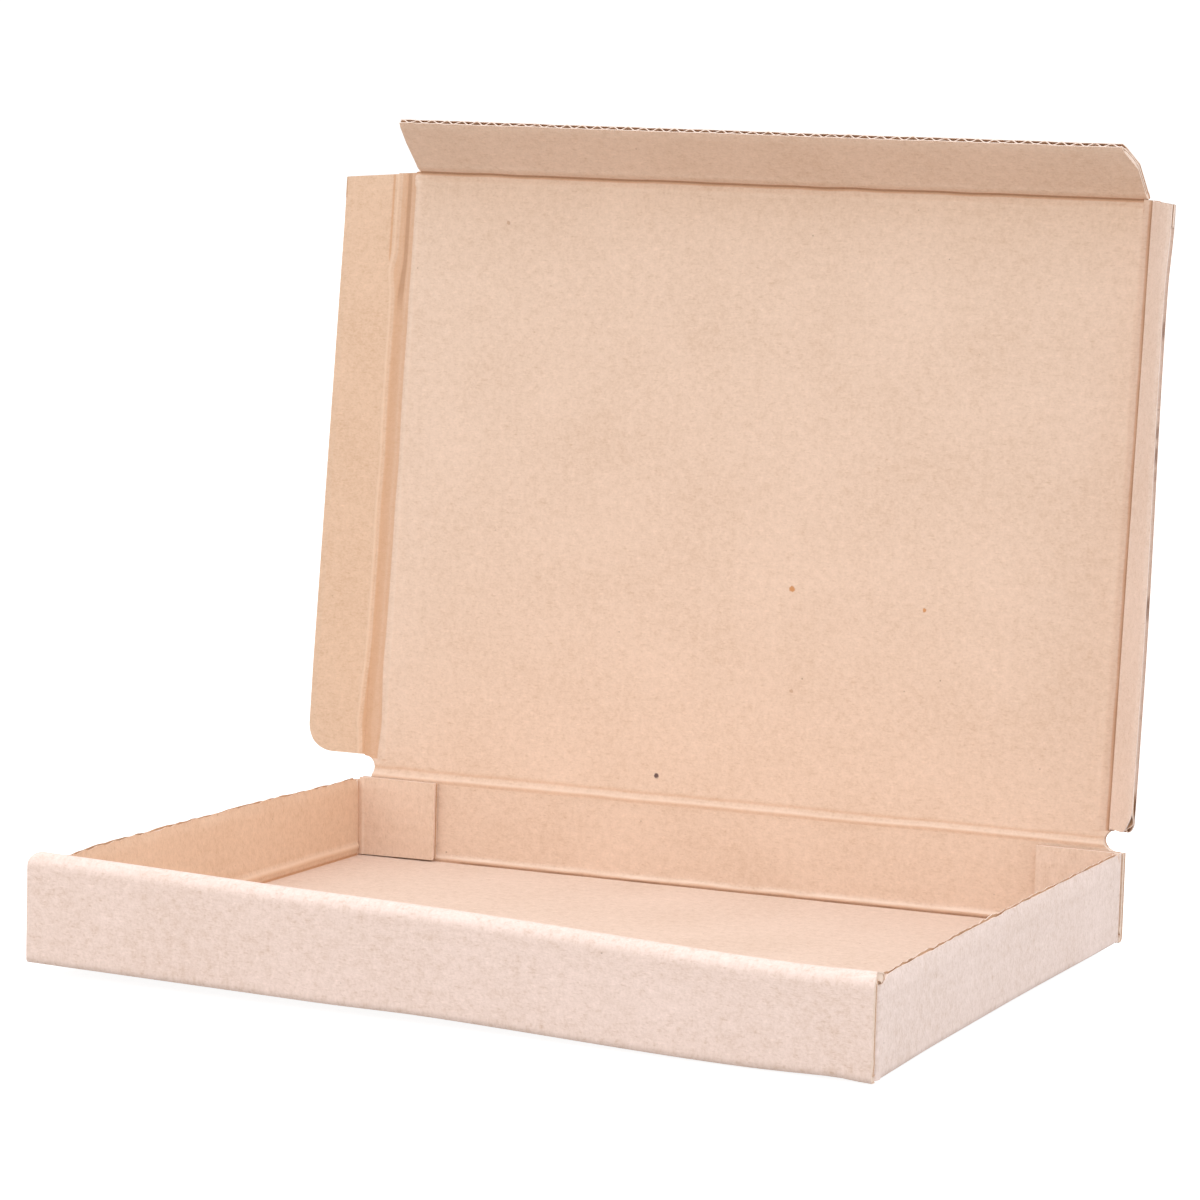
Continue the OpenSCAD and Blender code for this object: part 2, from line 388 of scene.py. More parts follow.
# Specks on the lid: across the box, up from the lid's crease, radius and colour.
LID_SPECKS = [((x, s + LID_FLAT, IN_LAYER), radius, speck) for x, s, radius, speck in (
    (-15.4, 3.9, 0.65, DARK_SPECK), (-55.5, 111.7, 0.55, FAINT_SPECK),
    (10.9, 42.9, 0.75, BROWN_SPECK), (38.6, 40.8, 0.5, BROWN_SPECK),
    (12.1, 23.0, 0.5, FAINT_SPECK))]
PAPERS = (paper("kraft_inside", srgb(227, 199, 176), 0.6, FLUTE_LINES, LID_SPECKS),
          paper("kraft_outside", srgb(239, 215, 201), 0.72, FLUTE_LINES),
          paper("fluting_medium", srgb(204, 166, 134), 0.5),
          paper("cut_edge", srgb(238, 214, 196), 0.5))
IN_SLOT, OUT_SLOT, MEDIUM_SLOT, EDGE_SLOT = range(4)
print("papers", [p.name for p in PAPERS])

# %% [markdown]
# The medium is a flat patch of paper until Geometry Nodes corrugates it, as the rolls of
# a corrugator do. The patch carries three attributes: which way is inward, how far
# across the flutes a point lies, and how high the wave is there. The rims left by the
# extrusion are where the die cut the paper, so they get the pale paper of a cut edge.

# %% Corrugating the medium
WELD = 1e-7


def corrugator():
    """A node group that waves a patch of paper and gives it a thickness."""
    group = bpy.data.node_groups.new("corrugator", "GeometryNodeTree")
    for name, way, kind in (("Geometry", "INPUT", "Geometry"), ("Pitch", "INPUT", "Float"),
                            ("Paper thickness", "INPUT", "Float"),
                            ("Paper", "INPUT", "Material"), ("Cut edge", "INPUT", "Material"),
                            ("Geometry", "OUTPUT", "Geometry")):
        group.interface.new_socket(name, in_out=way, socket_type="NodeSocket" + kind)
    nodes = Tree(group)
    given = nodes.node("NodeGroupInput")
    patch, pitch, thickness, brown, pale = (given.other(name) for name in (
        "Geometry", "Pitch", "Paper thickness", "Paper", "Cut edge"))
    inward, across, height = (
        nodes.node("GeometryNodeInputNamedAttribute", {"data_type": kind}, {"Name": name})
        for name, kind in (("inward", "FLOAT_VECTOR"), ("across", "FLOAT"), ("height", "FLOAT")))
    wave = (across.math("DIVIDE", pitch) * (2 * math.pi)).math("COSINE") * height
    moved = nodes.node("ShaderNodeVectorMath", {"operation": "SCALE"}, {
        0: inward, "Scale": wave - thickness * 0.5})
    waved = nodes.node("GeometryNodeSetPosition", {}, {"Geometry": patch, "Offset": moved})
    raised = nodes.node("GeometryNodeExtrudeMesh", {}, {
        "Mesh": waved, "Offset": inward, "Offset Scale": thickness, "Individual": False})
    back = nodes.node("GeometryNodeFlipFaces", {}, {"Mesh": waved})
    joined = nodes.node("GeometryNodeJoinGeometry")
    for part in (raised, back):
        nodes.feed(joined.socket.node.inputs[0], part)
    closed = nodes.node("GeometryNodeMergeByDistance", {}, {"Geometry": joined, "Distance": WELD})
    real = nodes.node("GeometryNodeRealizeInstances", {}, {"Geometry": closed})
    painted = nodes.node("GeometryNodeSetMaterial", {}, {"Geometry": real, "Material": brown})
    rimmed = nodes.node("GeometryNodeSetMaterial", {}, {
        "Geometry": painted, "Selection": raised.other("Side"), "Material": pale})
    nodes.node("NodeGroupOutput", {}, {"Geometry": rimmed})
    return group


CORRUGATOR = corrugator()
BOARD_SHARP = 38
FLUTE_SHARP = 60


def finish_mesh(mesh, sharp_from):
    """Smooth shading, except at edges that are sharper than an angle in degrees."""
    mesh.shade_smooth()
    mesh.set_sharp_from_angle(angle=math.radians(sharp_from))
    mesh.update()


def set_attribute(mesh, name, kind, values):
    """Gives every point of a mesh a number or a vector."""
    place = mesh.attributes.new(name, kind, "POINT")
    place.data.foreach_set("vector" if kind == "FLOAT_VECTOR" else "value",
                           np.asarray(values, np.float32).ravel())


def corrugated(name, points, flats, faces, inward, across, height):
    """The waved medium of one piece of board, as an object of its own."""
    mesh = bpy.data.meshes.new(name)
    mesh.from_pydata((points * MM).tolist(), [], faces.tolist())
    for key, kind, values in (("sheet", "FLOAT_VECTOR", flats), ("inward", "FLOAT_VECTOR", inward),
                              ("across", "FLOAT", across * MM), ("height", "FLOAT", height * MM)):
        set_attribute(mesh, key, kind, values)
    piece = add_object(name, mesh)
    nodes = piece.modifiers.new("corrugator", "NODES")
    nodes.node_group = CORRUGATOR
    given = {"Pitch": PITCH * MM, "Paper thickness": MEDIUM * MM,
             "Paper": PAPERS[MEDIUM_SLOT], "Cut edge": PAPERS[EDGE_SLOT]}
    for item in CORRUGATOR.interface.items_tree:
        if item.name in given and item.in_out == "INPUT":
            nodes[item.identifier] = given[item.name]
    waved = piece.evaluated_get(bpy.context.evaluated_depsgraph_get())
    solid = bpy.data.meshes.new_from_object(waved)
    piece.modifiers.clear()
    piece.data = solid
    for extra in ("inward", "across", "height"):
        solid.attributes.remove(solid.attributes[extra])
    finish_mesh(solid, FLUTE_SHARP)
    print(name, len(solid.polygons), "faces")
    return piece


# %% [markdown]
# Every panel is described by one function, `at(u, v, n)`. The first two numbers are a
# place on the panel, and the third is a height above the middle of the board, towards
# the inside of the box. `Sheet` turns such a function into two closed liners, a
# crushed core that keeps light out, and the flutes.

# %% Collecting paper
def grid_faces(index, flip):
    """The faces of a grid of point numbers, turned over if asked."""
    quads = np.stack([index[:-1, :-1], index[1:, :-1], index[1:, 1:], index[:-1, 1:]], -1)
    quads = quads.reshape(-1, 4)
    return quads[:, ::-1] if flip else quads


def grid_flip(at, u, v):
    """Whether a grid's faces must be turned over to face inward."""
    face = at(u, v, HALF + 0 * u)
    normal = np.cross(np.gradient(face, axis=0), np.gradient(face, axis=1))
    return float(np.sum(normal * (face - at(u, v, 0 * u)))) < 0


# The outside liner keeps at most this much of the painted warm light.
OUTSIDE_WARMTH = 0.15
FLUTE_SLANT = 0.012


class Sheet:
    """One piece of board, gathered as grids and made into an object or two."""

    def __init__(self, name):
        self.name = name
        self.points, self.flats, self.faces, self.slots, self.looks = [], [], [], [], []
        self.count = 0
        self.waves = {key: [] for key in ("points", "flats", "faces", "inward", "across", "height")}
        self.wave_count = 0

    def slab(self, at, flat, u, v, high, low, slots, layer, crease=0.0, warmth=0.0):
        """A closed solid between two heights above the middle of the board."""
        flip = grid_flip(at, u, v)
        high, low = high + 0 * u, low + 0 * u
        size = u.size
        top = self.count + np.arange(size).reshape(u.shape)
        under = top + size
        self.count += 2 * size
        place = np.stack([*flat(u, v), layer + 0 * u], -1).reshape(-1, 3)
        self.points += [at(u, v, high).reshape(-1, 3), at(u, v, low).reshape(-1, 3)]
        self.flats += [place, place]
        self.looks += [np.stack([crease + 0 * u, warmth + 0 * u], -1).reshape(-1, 2),
                       np.stack([0 * u, warmth + 0 * u], -1).reshape(-1, 2)]
        parts = [(grid_faces(top, flip), slots[0]), (grid_faces(under, not flip), slots[1])]
        for line, turned in ((np.s_[0], True), (np.s_[-1], False),
                             (np.s_[:, 0], False), (np.s_[:, -1], True)):
            rim = np.stack([top[line], under[line]])
            parts.append((grid_faces(rim, turned != flip), slots[2]))
        for faces, slot in parts:
            self.faces.append(faces)
            self.slots.append(np.full(len(faces), slot))

    def board(self, at, flat, grid, rise, core, warmth=0.0):
        """Two liners on one pair of grids, and a core between them on another."""
        u, v = grid
        relief = rise(u, v)
        # The relief is also the `crease` attribute, from which the colour takes painted shade in
        # valleys and painted highlights on ridges.
        self.slab(at, flat, u, v, HALF + relief, HALF + relief - LINER,
                  (IN_SLOT, MEDIUM_SLOT, EDGE_SLOT), IN_LAYER, relief, warmth)
        self.slab(at, flat, u, v, LINER - HALF, -HALF, (MEDIUM_SLOT, OUT_SLOT, EDGE_SLOT),
                  -IN_LAYER, 0.0, np.minimum(warmth, OUTSIDE_WARMTH))
        u, v = core
        self.slab(at, flat, u, v, HALF - LINER + rise(u, v), LINER - HALF,
                  (MEDIUM_SLOT, MEDIUM_SLOT, EDGE_SLOT), 0.0)

    def medium(self, at, flat, u, v):
        """A patch of the fluted medium. Its flutes aren't quite square to the sheet."""
        inward = at(u, v, 0.1 + 0 * u) - at(u, v, -0.1 + 0 * u)
        inward /= np.linalg.norm(inward, axis=-1, keepdims=True)
        x, y = flat(u, v)
        index = self.wave_count + np.arange(u.size).reshape(u.shape)
        self.wave_count += u.size
        patch = {"points": at(u, v, 0 * u).reshape(-1, 3),
                 "flats": np.stack([x, y, 0 * u], -1).reshape(-1, 3),
                 "faces": grid_faces(index, grid_flip(at, u, v)),
                 "inward": inward.reshape(-1, 3),
                 "across": (x + FLUTE_SLANT * y).ravel(),
                 "height": np.full(u.size, HALF - LINER - MEDIUM / 2)}
        for key, values in patch.items():
            self.waves[key].append(values)

    def make(self, node=None):
        """The finished objects, in metres. They ride on a node and the board replaces it."""
        mesh = bpy.data.meshes.new(self.name)
        mesh.from_pydata((np.concatenate(self.points) * MM).tolist(), [],
                         np.concatenate(self.faces).tolist())
        mesh.polygons.foreach_set("material_index", np.concatenate(self.slots).astype(np.int32))
        set_attribute(mesh, "sheet", "FLOAT_VECTOR", np.concatenate(self.flats))
        for name, look in zip(("crease", "warmth"), np.concatenate(self.looks).T):
            set_attribute(mesh, name, "FLOAT", look)
        for material in PAPERS:
            mesh.materials.append(material)
        finish_mesh(mesh, BOARD_SHARP)
        pieces = [add_object(self.name, mesh)]
        print(self.name, len(mesh.polygons), "faces")
        if self.wave_count:
            waves = {key: np.concatenate(values) for key, values in self.waves.items()}
            pieces.append(corrugated(self.name + "_flutes", **waves))
        for one in pieces:
            if node:
                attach(one, node)
        if node:
            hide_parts(node)
        return pieces


# %% [markdown]
# A folded strip is followed as a traveller would walk it: straight on, then a turn to
# the left round a small radius, and so on. `Walk` gives the point at any distance
# along the middle of the board and any distance to its left. To its left lies the
# inside of the box. A crease crushes the board, so a right-angled fold is tighter
# than a quarter circle, and `CRISP` says how much.

# %% Following a folded strip
CRISP = 4.5
RIGHT_ANGLE = 90


def evenly(low, high, step):
    """Values from low to high that are evenly spaced, a step or a little less apart."""
    return np.linspace(low, high, max(1, math.ceil((high - low) / step)) + 1)


def facing(angle):
    """One millimetre straight on."""
    return np.stack([np.cos(angle), np.sin(angle)], -1)


def left_of(angle):
    """One millimetre to the left."""
    return np.stack([-np.sin(angle), np.cos(angle)], -1)


class Walk:
    """The middle line of a folded strip, as straight runs and turns to the left."""

    def __init__(self, legs, start, heading):
        self.runs = []
        self.bends = []
        at, angle, gone = np.array(start, float), math.radians(heading), 0.0
        for length, bend, inside in legs:
            self.runs.append((gone, at, angle, 0.0, False))
            at = at + length * facing(angle)
            gone += length
            if bend:
                radius, sweep = inside + HALF, math.radians(bend)
                self.runs.append((gone, at, angle, radius, bend == RIGHT_ANGLE))
                self.bends.append((gone, gone + radius * sweep))
                at = at + radius * (left_of(angle) - left_of(angle + sweep))
                angle += sweep
                gone += radius * sweep
        self.length = gone

    def place(self, run, left):
        """Points at a distance along the strip and a distance to the left of its middle."""
        spot = np.zeros(run.shape + (2,))
        for number, (begin, at, angle, radius, creased) in enumerate(self.runs):
            inside = (run >= begin) | (number == 0)
            here, aside = (run - begin)[inside], left[inside]
            if radius:
                share = here / radius
                reach = radius - aside
                if creased:
                    corner = np.clip(share, 0, math.pi / 2)
                    power = np.cos(corner) ** CRISP + np.sin(corner) ** CRISP
                    reach = reach * power ** (-1 / CRISP)
                centre = at + radius * left_of(angle)
                spot[inside] = centre - reach[:, None] * left_of(angle + share)
            else:
                spot[inside] = (at + here[:, None] * facing(angle)
                                + aside[:, None] * left_of(angle))
        return spot

    def rows(self, begin, end, coarse=4.0, fine=0.25, reach=3.0):
        """Distances to sample: close together near the turns and far apart between."""
        marks = [evenly(begin, end, coarse)]
        for low, high in self.bends:
            first, last = max(begin, low - reach), min(end, high + reach)
            if last > first:
                marks.append(evenly(first, last, fine))
        return np.unique(np.concatenate(marks))


def spread(low, high, count):
    """Columns from low to high for every row, where low and high differ by row."""
    return low[:, None] + (high - low)[:, None] * np.linspace(0, 1, count)[None]


def rows_of(values, count):
    """The same value across each row."""
    return np.repeat(values[:, None], count, 1)


def lattice(rows, columns):
    """Two grids, one of the rows' values and one of the columns'."""
    return np.meshgrid(rows, columns, indexing="ij")


# %% [markdown]
# A crease is where the creasing rule has crushed the flutes. The board is thinner
# there, and on the inside the liner is pushed up into a small bead on each side. A
# `hump` shapes such a line, a `ramp` lets it begin and end, and `ragged` tears it.

# %% Creases and torn edges
def hump(distance, width):
    """A smooth hump, 1 in the middle, that falls away over a width."""
    return np.exp(-(distance / width) ** 2)


def ramp(value, start, end):
    """A smooth step from 0 at the start to 1 at the end. The end may be the lower one."""
    share = np.clip((value - start) / (end - start), 0, 1)
    return share * share * (3 - 2 * share)


def ragged(along, step, amount, seed):
    """Random shifts along an edge, a new one at every step and straight between them."""
    dice = random.Random(seed)
    first, last = int(np.min(along) // step) - 1, int(np.max(along) // step) + 2
    shifts = [dice.uniform(-amount, amount) for _ in range(first, last + 1)]
    return np.interp(along / step, range(first, last + 1), shifts)


# %% [markdown]
# An empty box of thin board is never quite square. This one stands on two opposite
# corners, its left wall leans out, the roll at the front is puffed up at its left end
# and pressed flatter at its right, and the front of the floor sags. `settle` moves the
# tray's points by those few tenths of a millimetre, all together, so that walls that
# meet still meet.

# %% The tray settles out of square
TWIST = 0.8
LEFT_LEAN = 2.0
ROLL_PUFF = 0.7
ROLL_DROP = 1.75
SAG = 1.1
SAG_X = 55.0
SAG_LEFT, SAG_RIGHT = 42.0, 25.0
RIGHT_SAG = 0.6
LEFT_SAG = 0.4
BACK_SPREAD = 0.7


def settle(points):
    """Moves the tray's points a little, as the real box has warped."""
    x, y, z = (points[..., i] for i in range(3))
    side, depth = x / (TRAY_W / 2), y / (TRAY_D / 2)
    in_roll = ramp(depth, -0.9, -0.95)
    in_front = ramp(depth, -0.5, -1)
    at_right = ramp(side, 0.9, 1)
    at_foot = ramp(z, 10, 0)
    at_left = ramp(side, -0.8, -0.95) * ramp(np.abs(depth), 0.985, 0.955)
    leaning = at_left * ramp(depth, -1, -0.5) * (1 - 0.85 * ramp(depth, 0.1, 0.95))
    pressed = ramp(x, -45, 70) ** 2 * (1 - 0.2 * ramp(x, 66, 82))
    puffed = ramp(side, -0.2, -1.1) * ramp(z, 8, 16)
    sag = SAG * in_front * hump(x - SAG_X, np.where(x < SAG_X, SAG_LEFT, SAG_RIGHT))
    sag = sag + RIGHT_SAG * at_right + LEFT_SAG * in_front * ramp(side, 0, -0.3)
    roll = ROLL_PUFF * puffed - ROLL_DROP * pressed * ramp(z, 11, 17)
    out = BACK_SPREAD * at_right * ramp(depth, 0, 1)
    out = out - LEFT_LEAN * leaning * np.clip(z / SIDE_H, 0, 1)
    up = TWIST * side * depth + in_roll * roll - at_foot * sag
    return points + np.stack([out, 0 * x, up], -1)


LID_SHIFT = 0.4
LID_TILT = 0.39


def tilt(points):
    """The lid hangs a little to the right and stands higher on that side."""
    x = points[..., 0]
    return points + np.stack([LID_SHIFT + 0 * x, 0 * x, LID_TILT * x / (TRAY_W / 2)], -1)


# %% [markdown]
# The tray is made of three walks. The first runs from front to back: up the hidden
# inner layer of the front wall, over the roll, down the outer layer, across the floor
# and up the back wall. The second goes from the floor's edge up a side wall, and the
# third along a side wall and round into its two corner tabs. Left and right share them.

# %% The front-to-back strip
roll_z = FRONT_H - ROLL_OUT
back_top = lid_crease[2] - STRIP
front_to_back = Walk(
    [(roll_z - BOARD - LAYER_GAP, 180, ROLL_IN),
     (roll_z - FOLD_OUT, 90, FOLD_IN),
     (TRAY_D - 2 * FOLD_OUT, 90, FOLD_IN),
     (back_top - FOLD_OUT, 0, 0)],
    (tray_low[1] + HALF + 2 * (ROLL_IN + HALF), BOARD + LAYER_GAP), 90)
_, front_bend, back_bend = front_to_back.bends
WALL_END = TRAY_W / 2
FRONT_OVER_LEFT = 0.2
FRONT_SHORT_RIGHT = 0.35
FLOOR_END = TRAY_W / 2 - FOLD_OUT
CORE_IN = 3.2
CUT_IN = 0.12
TORN_FROM, TORN_TO = -62.0, -54.0
# Tints of the front wall and the floor; the floor's cooler tint is painted cool light from
# overhead.
FRONT_WARMTH = 0.15
FLOOR_WARMTH = -0.3


def strip_at(run, side, n):
    """A point of the strip in the box, n millimetres above the middle of the board."""
    spot = front_to_back.place(run, n)
    return settle(np.stack([side, spot[..., 0], spot[..., 1]], -1))


def strip_flat(run, side):
    return side, run


def strip_rise(run, side):
    """Crushed creases, and the torn liner along the foot of the back wall."""
    front = run - (front_bend[0] + front_bend[1]) / 2
    back = run - (back_bend[0] + back_bend[1]) / 2
    torn = ramp(side, TORN_FROM, TORN_TO)
    lip = 0.3 + torn * (0.08 + ragged(side, 3.7, 0.16, 5))
    rise = -0.3 * hump(front, 0.8) + 0.2 * hump(np.abs(front) - 2.2, 0.6)
    rise += lip * hump(back - 1.3 - torn * ragged(side, 4.3, 0.16, 8), 0.5)
    # This groove's depth also paints the crack's shade into the colour.
    return rise - (0.12 + 0.2 * torn) * hump(back + 0.15 - torn * ragged(side, 2.9, 0.12, 9), 0.42)


def front_end(run, radius):
    """Where the front wall ends at each distance: its top corners are rounded."""
    height = front_to_back.place(run, 0.0 * run)[..., 1]
    over = np.clip(height - (FRONT_H - HALF - radius), 0, radius)
    return WALL_END - (radius - np.sqrt(np.maximum(radius ** 2 - over ** 2, 0)))


tray = Sheet("tray_board")
rows = front_to_back.rows(0, front_bend[1], coarse=2.5, fine=0.35)
left_end = -front_end(rows, LEFT_CORNER_R) - FRONT_OVER_LEFT
right_end = front_end(rows, CORNER_R) - FRONT_SHORT_RIGHT
grid = rows_of(rows, 60), spread(left_end, right_end, 60)
core = rows_of(rows, 20), spread(left_end + CUT_IN, right_end - CUT_IN, 20)
tray.board(strip_at, strip_flat, grid, strip_rise, core, FRONT_WARMTH)

rows = front_to_back.rows(front_bend[1], back_bend[0], fine=0.35)
end = np.full(len(rows), FLOOR_END)
grid, core = ((rows_of(rows, count), spread(-end, end, count)) for count in (90, 20))
tray.board(strip_at, strip_flat, grid, strip_rise, core, FLOOR_WARMTH)

# %% [markdown]
# The back wall ends in the lid's crease. At both ends of that crease the die has cut
# a round-ended notch, so the wall's top follows a quarter circle there.

# %% The back wall
def wall_top(side):
    """The back wall's height at a sideways place, round the relief notches."""
    over = np.clip(NOTCH_X - np.abs(side), 0, NOTCH_R)
    notch = lid_crease[2] - NOTCH_DROP - np.sqrt(NOTCH_R ** 2 - over ** 2)
    return np.where(NOTCH_X - np.abs(side) >= NOTCH_R, back_top, np.minimum(back_top, notch))


def back_wall(reach, count):
    """A grid up the back wall, as wide as reach and with close columns at the notches."""
    ends = np.linspace(min(NOTCH_X - NOTCH_R - 0.4, reach - 0.5), reach, 14)
    side = np.concatenate([-ends[::-1], np.linspace(-ends[0], ends[0], count)[1:-1], ends])
    rows = front_to_back.rows(back_bend[0], front_to_back.length, coarse=2.5)
    run, side = lattice(rows, side)
    share = (run - back_bend[1]) / (rows[-1] - back_bend[1])
    top = wall_top(side) - FOLD_OUT
    return np.where(run > back_bend[1], back_bend[1] + share * top, run), side


tray.board(strip_at, strip_flat, back_wall(WALL_END, 80), strip_rise,
           back_wall(WALL_END - CUT_IN, 20))

# %% [markdown]
# Each side wall folds up from the floor, and its two ends turn in as corner tabs: the
# front tab is trapped in the rolled front wall, and the back tab lies against the back
# wall, where the photograph shows it. The die has cut the walls' tops along a flute and
# squeezed them, so the two liners stand close together there, torn and ragged.

# %% Side walls and corner tabs
# The hand is 1 on the right and -1 on the left.
TAB_COLUMNS = 8
TAB_SHORT = {1: 1.9, -1: -0.5}
BACK_TAB_LIFT = {1: 0.0, -1: 0.7}
WALL_LOW = {1: 0.5, -1: 0.0}
# Painted light: cooler on the right wall and its tabs, for the cool light on that side, and warmer
# on the left wall's inside, for the warm light bounced in the box.
WALL_WARMTH = {1: -0.4, -1: 0.7}
TAB_WARMTH = {1: -0.4, -1: 0.0}
tab_mid = TRAY_D / 2 - BOARD - LAYER_GAP - HALF
WALL_RUN = tab_mid - FOLD_IN - HALF
floor_fold = Walk([(0, 90, FOLD_IN), (SIDE_H - FOLD_OUT, 0, 0)], (FLOOR_END, HALF), 0)
corner_walk = Walk(
    [(TAB_LEN - FOLD_IN, 90, FOLD_IN), (2 * WALL_RUN, 90, FOLD_IN), (TAB_LEN - FOLD_IN, 0, 0)],
    (TRAY_W / 2 - BOARD - TAB_LEN, -tab_mid), 0)
TAB_LOW = BOARD + LAYER_GAP
TAB_HIGH = SIDE_H - TAB_DROP


def gap_depth(along, seed):
    """How deep one can see between the liners of an edge that is cut along a flute."""
    return 0.35 + 0.6 * ramp(ragged(along, 2.1, 1.0, seed), 0.35, 0.65)


def side_wall(sheet, hand):
    """One side wall, from the floor's edge up."""
    top = floor_fold.length

    def at(run, along, n):
        at_top = ramp(run, top - 1.6, top - 0.1)
        squeeze = 0.45 + ragged(along, 4.1, 0.22, 40 + hand) + ragged(along, 1.7, 0.08, 43)
        spot = floor_fold.place(run, n * (1 - at_top * squeeze))
        rough = ragged(along, 1.7, 0.2, 21 + hand) + ragged(along, 0.7, 0.08, 3)
        torn = np.where(n > 0, rough, ragged(along, 2.3, 0.13, 27 + hand))
        lift = torn * ramp(run, top - 0.6, top) - WALL_LOW[hand] * ramp(run, 2, 14)
        return settle(np.stack([hand * spot[..., 0], along, spot[..., 1] + lift], -1))

    def flat(run, along):
        return hand * (FLOOR_END + run), along

    def rise(run, along):
        foot = run - sum(floor_fold.bends[0]) / 2
        wander = ragged(along, 11.0, 0.15, 44 + hand)
        return (0.36 * hump(foot - 2.3 - wander, 0.6) - 0.2 * hump(foot - 0.3, 0.6)
                - 0.06 * hump(foot - 3.6 - wander, 0.3))

    rows = floor_fold.rows(0, top, coarse=2.0, fine=0.35)
    rows = np.sort(np.append(rows, [top - 0.5, top - 0.2]))
    run, along = lattice(rows, np.linspace(-WALL_RUN, WALL_RUN, 65))
    core = run * (1 - gap_depth(along, 47 + hand) / top), along
    grid = lattice(rows, np.linspace(-WALL_RUN, WALL_RUN, 130))
    sheet.board(at, flat, grid, rise, core, WALL_WARMTH[hand])


def corner_tabs(sheet, hand):
    """The two tabs at the ends of one side wall, from their folds to their free ends."""
    first, second = corner_walk.bends

    def at(run, height, n):
        spot = corner_walk.place(run, n)
        return settle(np.stack([hand * spot[..., 0], spot[..., 1], height], -1))

    def flat(run, height):
        return hand * (FLOOR_END + height), run - first[1] - WALL_RUN

    def rise(run, height):
        lines = 0.0
        for low, high in (first, second):
            fold = run - (low + high) / 2
            lines = lines - 0.12 * hump(fold, 0.45) + 0.15 * hump(np.abs(fold) - 1.4, 0.35)
        return lines

    def grid(rows, free, lift, inset=0.0):
        """A grid up a tab. Its lower edge rises to the free end and drops into the wall."""
        low = TAB_LOW + TAB_RISE * np.clip(1 - np.abs(rows - free) / TAB_LEN, 0, 1)
        in_wall = ramp(rows, first[0], first[0] + 0.4) * ramp(rows, second[1], second[1] - 0.4)
        low = low - (TAB_LOW - 0.3) * in_wall
        high = TAB_HIGH + lift * (1 - in_wall)
        return rows_of(rows, TAB_COLUMNS), spread(low + inset, high - inset, TAB_COLUMNS)

    back_end = corner_walk.length - TAB_SHORT[hand]
    for begin, end, free, lift in ((0, first[1], 0, 0.0),
                                   (second[0], back_end, back_end, BACK_TAB_LIFT[hand])):
        rows = corner_walk.rows(begin, end, coarse=3.0, fine=0.2)
        filled = np.clip(rows, 0.3, back_end - 0.3)
        sheet.board(at, flat, grid(rows, free, lift), rise, grid(filled, free, lift, CUT_IN),
                    TAB_WARMTH[hand])


for hand in (1, -1):
    side_wall(tray, hand)
    corner_tabs(tray, hand)
tray.make("tray")

# %% [markdown]
# The lid and its flaps are flat panels, so they are drawn on a flat plan and then put
# where the open lid stands. Each panel has its own directions: across the box, away
# from its crease, and towards its inside. In the relief, `x` is a distance across the
# box, `s` one up the lid from its crease, and `out` one away from the crease in hand.

# %% Relief of the lid's creases
def panel_at(origin, across, away):
    """Turns a panel's own millimetres (across, away, inward) into the box's."""
    inward = np.cross(across, away)

    def at(a, b, n):
        return tilt(origin + a[..., None] * across + b[..., None] * away + n[..., None] * inward)

    return at


def follow(s, *points):
    """The height at s of the line through some (s, height) points."""
    return np.interp(s, *zip(*points))


def left_crease(out, s):
    """The left flap's crease, unfolded again: a crushed band with a ridge on each side.

    The rule missed the flute near the top, so the band steps sideways there. Ridge, band
    and line are distances out from the crease, each at some places up the lid."""
    wander = ragged(s, 9.0, 0.15, 31)
    ridge = follow(s, (3, 2.9), (9, 3.4), (21, 2.5), (60, 2.1), (96, 2.1), (101, 2.6), (105, 1.8),
                   (122, 1.7))
    band = follow(s, (3, 1.4), (9, 1.6), (21, 0.9), (60, 0.25), (96, 0.1), (103, -0.55),
                  (122, -0.6))
    width = follow(s, (3, 1.0), (96, 0.95), (104, 0.5), (122, 0.5))
    line = follow(s, (3, -1.0), (9, -1.6), (21, -1.1), (60, -1.75), (94, -1.7), (101, -1.9),
                  (122, -2.0))
    rise = 0.26 * hump(out - ridge - wander, 0.5)
    depth = 0.08 + 0.1 * ramp(s, 90, 98)
    rise -= depth * hump(np.maximum(np.abs(out - band - wander) - 0.5 * width, 0), 0.3)
    beside = np.abs(out - (ridge + line) / 2 - wander) - (ridge - line) / 2 + 0.4
    rise -= 0.11 * hump(np.maximum(beside, 0), 0.3)
    rise -= 0.14 * hump(out - line - wander, 0.3)
    rise -= 0.15 * hump(out - 2.9, 0.3) * ramp(s, 101, 104)
    return rise + 0.16 * hump(out + 2.9, 0.7)


def right_crease(out, s):
    """The right flap's crease, still folded: one sharp valley."""
    return (-0.38 * hump(out + ragged(s, 5.0, 0.12, 33), 0.5)
            + 0.12 * hump(np.abs(out) - 2.3 - ragged(s, 7.0, 0.2, 34), 0.7))


def front_line(x, out):
    """The front flap's crease, still folded."""
    return (-0.36 * hump(out + ragged(x, 6.0, 0.15, 35), 0.45)
            + 0.14 * hump(out + 2.1 + ragged(x, 8.0, 0.25, 36), 0.7)
            + 0.08 * hump(out - 2.3, 0.6))


def lid_line(x, out):
    """The lid's crease: a ridge on the wall's side and a soft valley above it."""
    return (0.26 * hump(out + 0.95 + ragged(x, 7.0, 0.12, 37), 0.5)
            - 0.08 * hump(out - 0.3 + ragged(x, 5.0, 0.12, 38), 0.45))


def lid_rise(x, s):
    """The relief of the whole lid, from its four creases."""
    return (left_crease(-x - FLAP_X, s) + right_crease(x - FLAP_X, s)
            + front_line(x, s - LID_LEN) + lid_line(x, s))


# %% [markdown]
# The lid's relief is all near its edges, so its grid is close there and coarse in the
# middle, where the panel is plain.

# %% The lid
LID_WARMTH = 0.1


def lid_flat(x, s):
    return x, s + LID_FLAT


